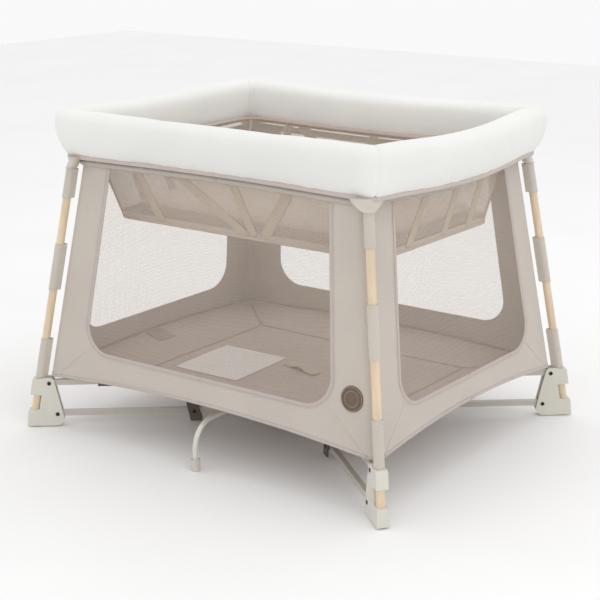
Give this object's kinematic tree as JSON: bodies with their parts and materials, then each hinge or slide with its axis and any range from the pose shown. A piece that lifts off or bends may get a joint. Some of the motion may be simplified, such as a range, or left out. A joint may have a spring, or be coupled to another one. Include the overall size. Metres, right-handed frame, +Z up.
{
  "type": "travel play yard",
  "caption": "Free-standing folding travel play yard: slanted wooden corner poles, mesh-sided cloth enclosure, padded rim and a lift-out infant insert with a mattress.",
  "frame": {"origin": "on the floor under the middle of the yard", "axes": "+X along the long side, +Y along the short side towards the back, +Z up"},
  "size_m": [1.0178, 0.8482, 0.76],
  "materials": {
    "pole_wood": "satin",
    "shell_plastic": "matte",
    "pad_rubber": "matte",
    "rivet_metal": "satin",
    "clip_plastic": "matte",
    "link_metal": "satin",
    "rim_fabric": "matte",
    "side_fabric": "matte",
    "floor_fabric": "matte",
    "hub_plastic": "matte",
    "spring_steel": "satin",
    "strap_webbing": "matte",
    "insert_fabric": "matte",
    "mattress_fabric": "matte"
  },
  "bodies": {
    "hub": {"hub_body": "hub_plastic", "hub_cover": "hub_plastic", "hub_pins": "rivet_metal", "latch_spring": "spring_steel"},
    "lower_arm_front_left": {"lower_link_front_left": "link_metal"},
    "upper_arm_front_left": {"upper_link_front_left": "link_metal", "floor_cloth_front_left": "floor_fabric"},
    "leg_front_left": {"leg_pole_front_left": "pole_wood", "foot_shell_front_left": "shell_plastic", "foot_pad_front_left": "pad_rubber", "foot_rivets_front_left": "rivet_metal", "leg_cap_front_left": "shell_plastic", "rim_cover_front_left": "rim_fabric", "side_cloth_front_left": "side_fabric"},
    "clip_front_left": {"link_clip_front_left": "clip_plastic", "clip_rivets_front_left": "rivet_metal"},
    "lower_arm_front_right": {"lower_link_front_right": "link_metal"},
    "upper_arm_front_right": {"upper_link_front_right": "link_metal", "floor_cloth_front_right": "floor_fabric"},
    "leg_front_right": {"leg_pole_front_right": "pole_wood", "foot_shell_front_right": "shell_plastic", "foot_pad_front_right": "pad_rubber", "foot_rivets_front_right": "rivet_metal", "leg_cap_front_right": "shell_plastic", "rim_cover_front_right": "rim_fabric", "side_cloth_front_right": "side_fabric"},
    "clip_front_right": {"link_clip_front_right": "clip_plastic", "clip_rivets_front_right": "rivet_metal"},
    "lower_arm_back_left": {"lower_link_back_left": "link_metal"},
    "upper_arm_back_left": {"upper_link_back_left": "link_metal", "floor_cloth_back_left": "floor_fabric"},
    "leg_back_left": {"leg_pole_back_left": "pole_wood", "foot_shell_back_left": "shell_plastic", "foot_pad_back_left": "pad_rubber", "foot_rivets_back_left": "rivet_metal", "leg_cap_back_left": "shell_plastic", "rim_cover_back_left": "rim_fabric", "side_cloth_back_left": "side_fabric"},
    "clip_back_left": {"link_clip_back_left": "clip_plastic", "clip_rivets_back_left": "rivet_metal"},
    "lower_arm_back_right": {"lower_link_back_right": "link_metal"},
    "upper_arm_back_right": {"upper_link_back_right": "link_metal", "floor_cloth_back_right": "floor_fabric"},
    "leg_back_right": {"leg_pole_back_right": "pole_wood", "foot_shell_back_right": "shell_plastic", "foot_pad_back_right": "pad_rubber", "foot_rivets_back_right": "rivet_metal", "leg_cap_back_right": "shell_plastic", "rim_cover_back_right": "rim_fabric", "side_cloth_back_right": "side_fabric"},
    "clip_back_right": {"link_clip_back_right": "clip_plastic", "clip_rivets_back_right": "rivet_metal"},
    "support_front": {"support_leg_front": "link_metal", "support_foot_front": "shell_plastic"},
    "support_back": {"support_leg_back": "link_metal", "support_foot_back": "shell_plastic"},
    "latch": {"latch_plunger": "hub_plastic", "pull_strap": "strap_webbing"},
    "insert": {"infant_insert": "insert_fabric"},
    "pad": {"mattress": "mattress_fabric"}
  },
  "joints": [
    {"name": "fold", "type": "hinge", "parent": "hub", "child": "lower_arm_front_left", "pos_m": [-0.04238, -0.03506, 0.031], "axis": [0.6374, -0.7705, 0], "range_deg": [0, 76]},
    {"name": "upper_arm_turn_front_left", "type": "hinge", "parent": "hub", "child": "upper_arm_front_left", "pos_m": [-0.0554, -0.04583, 0.1075], "axis": [0.6374, -0.7705, 0], "range_deg": [0, 76], "deforming": ["floor_cloth_front_left"]},
    {"name": "leg_turn_front_left", "type": "hinge", "parent": "lower_arm_front_left", "child": "leg_front_left", "pos_m": [-0.44583, -0.3688, 0.031], "axis": [-0.6374, 0.7705, 0], "range_deg": [0, 76], "deforming": ["rim_cover_front_left", "side_cloth_front_left"]},
    {"name": "clip_turn_front_left", "type": "hinge", "parent": "lower_arm_front_left", "child": "clip_front_left", "pos_m": [-0.19803, -0.16381, 0.031], "axis": [-0.6374, 0.7705, 0], "range_deg": [0, 76]},
    {"name": "lower_arm_turn_front_right", "type": "hinge", "parent": "hub", "child": "lower_arm_front_right", "pos_m": [0.04238, -0.03506, 0.031], "axis": [0.6374, 0.7705, 0], "range_deg": [0, 76]},
    {"name": "upper_arm_turn_front_right", "type": "hinge", "parent": "hub", "child": "upper_arm_front_right", "pos_m": [0.0554, -0.04583, 0.1075], "axis": [0.6374, 0.7705, 0], "range_deg": [0, 76], "deforming": ["floor_cloth_front_right"]},
    {"name": "leg_turn_front_right", "type": "hinge", "parent": "lower_arm_front_right", "child": "leg_front_right", "pos_m": [0.44583, -0.3688, 0.031], "axis": [-0.6374, -0.7705, 0], "range_deg": [0, 76], "deforming": ["rim_cover_front_right", "side_cloth_front_right"]},
    {"name": "clip_turn_front_right", "type": "hinge", "parent": "lower_arm_front_right", "child": "clip_front_right", "pos_m": [0.19803, -0.16381, 0.031], "axis": [-0.6374, -0.7705, 0], "range_deg": [0, 76]},
    {"name": "lower_arm_turn_back_left", "type": "hinge", "parent": "hub", "child": "lower_arm_back_left", "pos_m": [-0.04238, 0.03506, 0.031], "axis": [-0.6374, -0.7705, 0], "range_deg": [0, 76]},
    {"name": "upper_arm_turn_back_left", "type": "hinge", "parent": "hub", "child": "upper_arm_back_left", "pos_m": [-0.0554, 0.04583, 0.1075], "axis": [-0.6374, -0.7705, 0], "range_deg": [0, 76], "deforming": ["floor_cloth_back_left"]},
    {"name": "leg_turn_back_left", "type": "hinge", "parent": "lower_arm_back_left", "child": "leg_back_left", "pos_m": [-0.44583, 0.3688, 0.031], "axis": [0.6374, 0.7705, 0], "range_deg": [0, 76], "deforming": ["rim_cover_back_left", "side_cloth_back_left"]},
    {"name": "clip_turn_back_left", "type": "hinge", "parent": "lower_arm_back_left", "child": "clip_back_left", "pos_m": [-0.19803, 0.16381, 0.031], "axis": [0.6374, 0.7705, 0], "range_deg": [0, 76]},
    {"name": "lower_arm_turn_back_right", "type": "hinge", "parent": "hub", "child": "lower_arm_back_right", "pos_m": [0.04238, 0.03506, 0.031], "axis": [-0.6374, 0.7705, 0], "range_deg": [0, 76]},
    {"name": "upper_arm_turn_back_right", "type": "hinge", "parent": "hub", "child": "upper_arm_back_right", "pos_m": [0.0554, 0.04583, 0.1075], "axis": [-0.6374, 0.7705, 0], "range_deg": [0, 76], "deforming": ["floor_cloth_back_right"]},
    {"name": "leg_turn_back_right", "type": "hinge", "parent": "lower_arm_back_right", "child": "leg_back_right", "pos_m": [0.44583, 0.3688, 0.031], "axis": [0.6374, -0.7705, 0], "range_deg": [0, 76], "deforming": ["rim_cover_back_right", "side_cloth_back_right"]},
    {"name": "clip_turn_back_right", "type": "hinge", "parent": "lower_arm_back_right", "child": "clip_back_right", "pos_m": [0.19803, 0.16381, 0.031], "axis": [0.6374, -0.7705, 0], "range_deg": [0, 76]},
    {"name": "support_turn_front", "type": "hinge", "parent": "hub", "child": "support_front", "pos_m": [0, -0.062, 0.107], "axis": [1, 0, 0], "range_deg": [0, 68.5]},
    {"name": "support_turn_back", "type": "hinge", "parent": "hub", "child": "support_back", "pos_m": [0, 0.062, 0.107], "axis": [-1, 0, 0], "range_deg": [0, 68.5]},
    {"name": "latch_pull", "type": "slide", "parent": "hub", "child": "latch", "axis": [0, 0, 1], "range_m": [0, 0.012], "stiffness_N_per_m": 600, "springref_m": -0.008, "deforming": ["latch_spring"]},
    {"name": "insert_drop", "type": "slide", "parent": "hub", "child": "insert", "axis": [0, 0, -1], "range_m": [0, 0.24], "deforming": ["infant_insert"]},
    {"name": "mattress_lift", "type": "slide", "parent": "insert", "child": "pad", "axis": [0, 0, 1], "range_m": [0, 0.25]}
  ],
  "couplings": [
    {"joint": "upper_arm_turn_front_left", "follows": "fold", "ratio": 1},
    {"joint": "leg_turn_front_left", "follows": "fold", "ratio": 1},
    {"joint": "clip_turn_front_left", "follows": "fold", "ratio": 1},
    {"joint": "lower_arm_turn_front_right", "follows": "fold", "ratio": 1},
    {"joint": "upper_arm_turn_front_right", "follows": "fold", "ratio": 1},
    {"joint": "leg_turn_front_right", "follows": "fold", "ratio": 1},
    {"joint": "clip_turn_front_right", "follows": "fold", "ratio": 1},
    {"joint": "lower_arm_turn_back_left", "follows": "fold", "ratio": 1},
    {"joint": "upper_arm_turn_back_left", "follows": "fold", "ratio": 1},
    {"joint": "leg_turn_back_left", "follows": "fold", "ratio": 1},
    {"joint": "clip_turn_back_left", "follows": "fold", "ratio": 1},
    {"joint": "lower_arm_turn_back_right", "follows": "fold", "ratio": 1},
    {"joint": "upper_arm_turn_back_right", "follows": "fold", "ratio": 1},
    {"joint": "leg_turn_back_right", "follows": "fold", "ratio": 1},
    {"joint": "clip_turn_back_right", "follows": "fold", "ratio": 1},
    {"joint": "support_turn_front", "follows": "fold", "ratio": 0.9},
    {"joint": "support_turn_back", "follows": "fold", "ratio": 0.9},
    {"joint": "insert_drop", "follows": "fold", "m_per_rad": 0.177}
  ]
}
